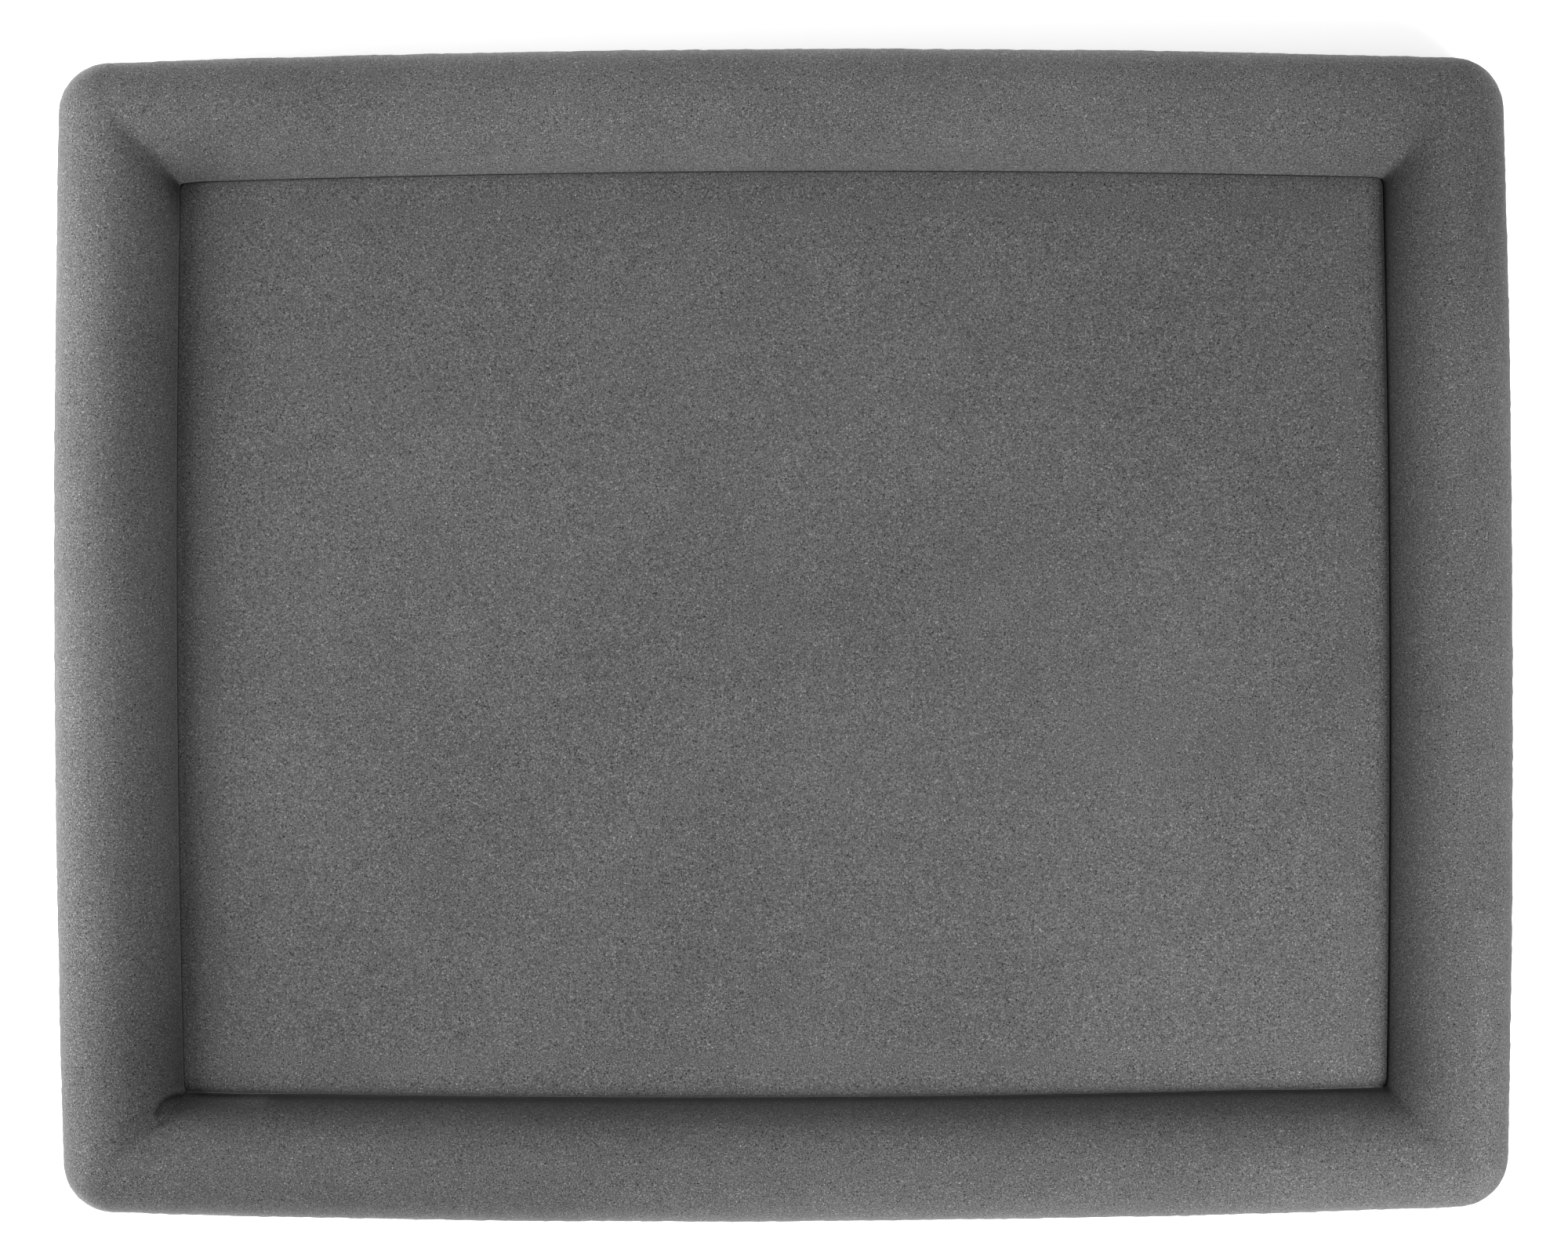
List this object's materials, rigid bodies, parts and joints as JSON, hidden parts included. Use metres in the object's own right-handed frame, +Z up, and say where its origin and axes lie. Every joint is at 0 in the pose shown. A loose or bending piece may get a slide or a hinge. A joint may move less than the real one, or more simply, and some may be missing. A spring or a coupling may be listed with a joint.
{
  "type": "jewelry tray",
  "caption": "Shallow rectangular jewelry display tray with a soft padded rim, mitred at the corners, and a drop-in floor pad, all covered in grey microfibre.",
  "frame": {"origin": "middle of the felt underside, at the height of the table", "axes": "+X along the long sides, +Y to the back, +Z up out of the open top"},
  "size_m": [0.3, 0.241, 0.021],
  "materials": {
    "mdf": "bare MDF, sawn and sanded",
    "foam": "soft open-cell foam",
    "microfibre": "mid-grey suede-like microfibre with a fine mottled nap",
    "felt": "dark grey pressed felt",
    "fastener_steel": "plain bright steel",
    "grey_board": "grey pasteboard",
    "card": "smooth black card"
  },
  "bodies": {
    "tray": {"base_board": "mdf", "rail_front": "mdf", "rail_back": "mdf", "rail_left": "mdf", "rail_right": "mdf", "padding_front": "foam", "padding_back": "foam", "padding_left": "foam", "padding_right": "foam", "rim_cover": "microfibre", "underside_felt": "felt", "rail_brads": "fastener_steel", "mitre_nails": "fastener_steel"},
    "floor_pad": {"pad_cover": "microfibre", "pad_board": "grey_board", "pad_foam": "foam", "pad_backing": "card"}
  },
  "joints": [
    {"name": "pad_lift", "type": "slide", "parent": "tray", "child": "floor_pad", "axis": [0, 0, 1], "range_m": [0, 0.03]}
  ]
}
